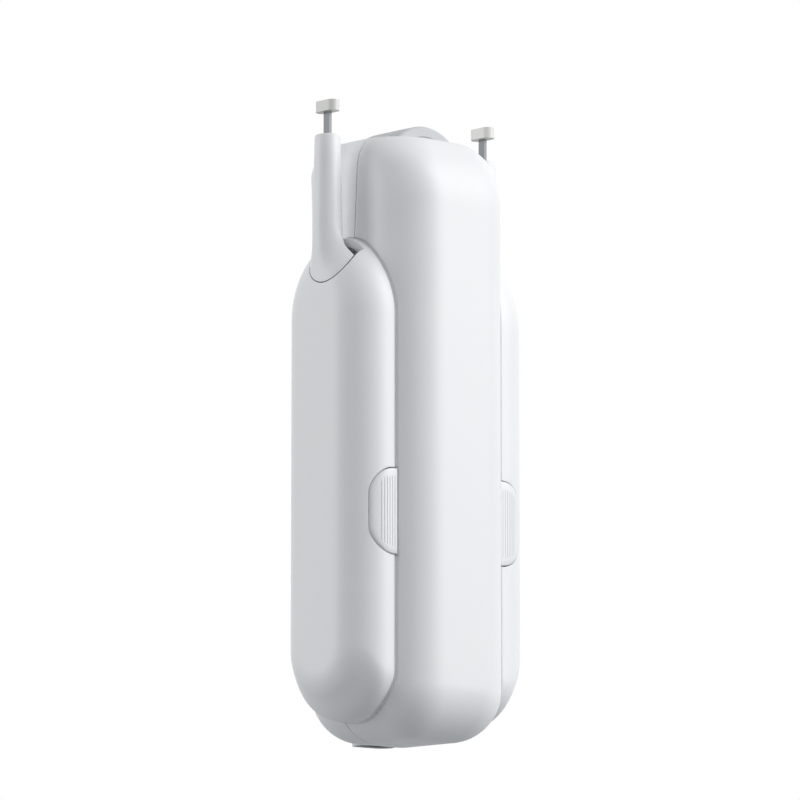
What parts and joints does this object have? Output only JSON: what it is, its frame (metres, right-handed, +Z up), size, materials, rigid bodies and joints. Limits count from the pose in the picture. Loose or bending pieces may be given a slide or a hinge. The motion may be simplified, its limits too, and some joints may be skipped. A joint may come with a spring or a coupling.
{
  "type": "curtain robot",
  "caption": "Capsule-shaped motor unit that hangs from a slotted curtain rail by two hook arms and drives along it on a rubber wheel.",
  "frame": {"origin": "middle of the part at the rail's underside, where the drive wheel meets the rail", "axes": "+Z up, +X along the rail, and the front cover faces -Y"},
  "size_m": [0.0718, 0.051, 0.1871],
  "materials": {
    "white_abs": "satin",
    "button_abs": "satin",
    "grey_abs": "matt",
    "dark_abs": "matt",
    "acetal": "smooth",
    "tyre_rubber": "matt",
    "steel": "satin",
    "brass": "satin",
    "nickel": "satin",
    "cell_can": "shrink wrap",
    "board": "solder mask",
    "clear_acrylic": "clear"
  },
  "bodies": {
    "root": {"front_cover": "white_abs", "rear_cover": "white_abs", "top_plate": "white_abs", "chassis": "grey_abs", "axle_bearings": "steel", "compound_pin": "steel", "gearhead": "steel", "motor": "steel", "battery_cell": "cell_can", "battery_tabs": "nickel", "main_board": "board", "tact_switch": "dark_abs", "charge_socket": "nickel", "port_insert": "dark_abs", "light_pipe": "clear_acrylic", "chassis_screws": "steel", "motor_screws": "steel", "board_screws": "steel", "left_pod_cover": "white_abs", "left_pod_base": "grey_abs", "left_arm_spring": "steel", "left_pod_screws": "steel", "left_front_spring": "steel", "left_rear_spring": "steel", "right_pod_cover": "white_abs", "right_pod_base": "grey_abs", "right_arm_spring": "steel", "right_pod_screws": "steel", "right_front_spring": "steel", "right_rear_spring": "steel"},
    "wheel": {"wheel_hub": "grey_abs", "wheel_tyre": "tyre_rubber", "wheel_axle": "steel", "wheel_gear": "brass"},
    "compound": {"compound_gear": "acetal"},
    "pinion": {"motor_pinion": "brass", "motor_shaft": "steel"},
    "pair_button": {"pairing_button": "button_abs"},
    "left_arm": {"left_hook_arm": "white_abs"},
    "left_hook_head": {"left_hook": "steel", "left_hook_shoe": "acetal", "left_hook_clip": "steel"},
    "left_front_release": {"left_front_button": "button_abs"},
    "left_rear_release": {"left_rear_button": "button_abs"},
    "right_arm": {"right_hook_arm": "white_abs"},
    "right_hook_head": {"right_hook": "steel", "right_hook_shoe": "acetal", "right_hook_clip": "steel"},
    "right_front_release": {"right_front_button": "button_abs"},
    "right_rear_release": {"right_rear_button": "button_abs"}
  },
  "joints": [
    {"name": "wheel_spin", "type": "hinge", "parent": "root", "child": "wheel", "pos_m": [0, 0, -0.0165], "axis": [0, 1, 0], "continuous": true},
    {"name": "compound_spin", "type": "hinge", "parent": "root", "child": "compound", "pos_m": [0, 0, -0.0285], "axis": [0, 1, 0], "continuous": true},
    {"name": "pinion_spin", "type": "hinge", "parent": "root", "child": "pinion", "pos_m": [0, 0, -0.0461], "axis": [0, 1, 0], "continuous": true},
    {"name": "pair_press", "type": "slide", "parent": "root", "child": "pair_button", "axis": [0, -1, 0], "range_m": [0, 0.0006], "stiffness_N_per_m": 500},
    {"name": "left_arm_slide", "type": "slide", "parent": "root", "child": "left_arm", "axis": [0, 0, 1], "range_m": [0, 0.012], "stiffness_N_per_m": 250, "deforming": ["left_arm_spring"]},
    {"name": "left_hook_turn", "type": "hinge", "parent": "left_arm", "child": "left_hook_head", "pos_m": [-0.0312, 0, 0], "axis": [0, 0, 1], "range_deg": [0, 90]},
    {"name": "left_front_press", "type": "slide", "parent": "root", "child": "left_front_release", "axis": [0, 1, 0], "range_m": [0, 0.002], "stiffness_N_per_m": 400, "deforming": ["left_front_spring"]},
    {"name": "left_rear_press", "type": "slide", "parent": "root", "child": "left_rear_release", "axis": [0, -1, 0], "range_m": [0, 0.002], "stiffness_N_per_m": 400, "deforming": ["left_rear_spring"]},
    {"name": "right_arm_slide", "type": "slide", "parent": "root", "child": "right_arm", "axis": [0, 0, 1], "range_m": [0, 0.012], "stiffness_N_per_m": 250, "deforming": ["right_arm_spring"]},
    {"name": "right_hook_turn", "type": "hinge", "parent": "right_arm", "child": "right_hook_head", "pos_m": [0.0312, 0, 0], "axis": [0, 0, 1], "range_deg": [0, 90]},
    {"name": "right_front_press", "type": "slide", "parent": "root", "child": "right_front_release", "axis": [0, 1, 0], "range_m": [0, 0.002], "stiffness_N_per_m": 400, "deforming": ["right_front_spring"]},
    {"name": "right_rear_press", "type": "slide", "parent": "root", "child": "right_rear_release", "axis": [0, -1, 0], "range_m": [0, 0.002], "stiffness_N_per_m": 400, "deforming": ["right_rear_spring"]}
  ],
  "couplings": [
    {"joint": "compound_spin", "follows": "wheel_spin", "ratio": -1.5},
    {"joint": "pinion_spin", "follows": "wheel_spin", "ratio": 4}
  ]
}
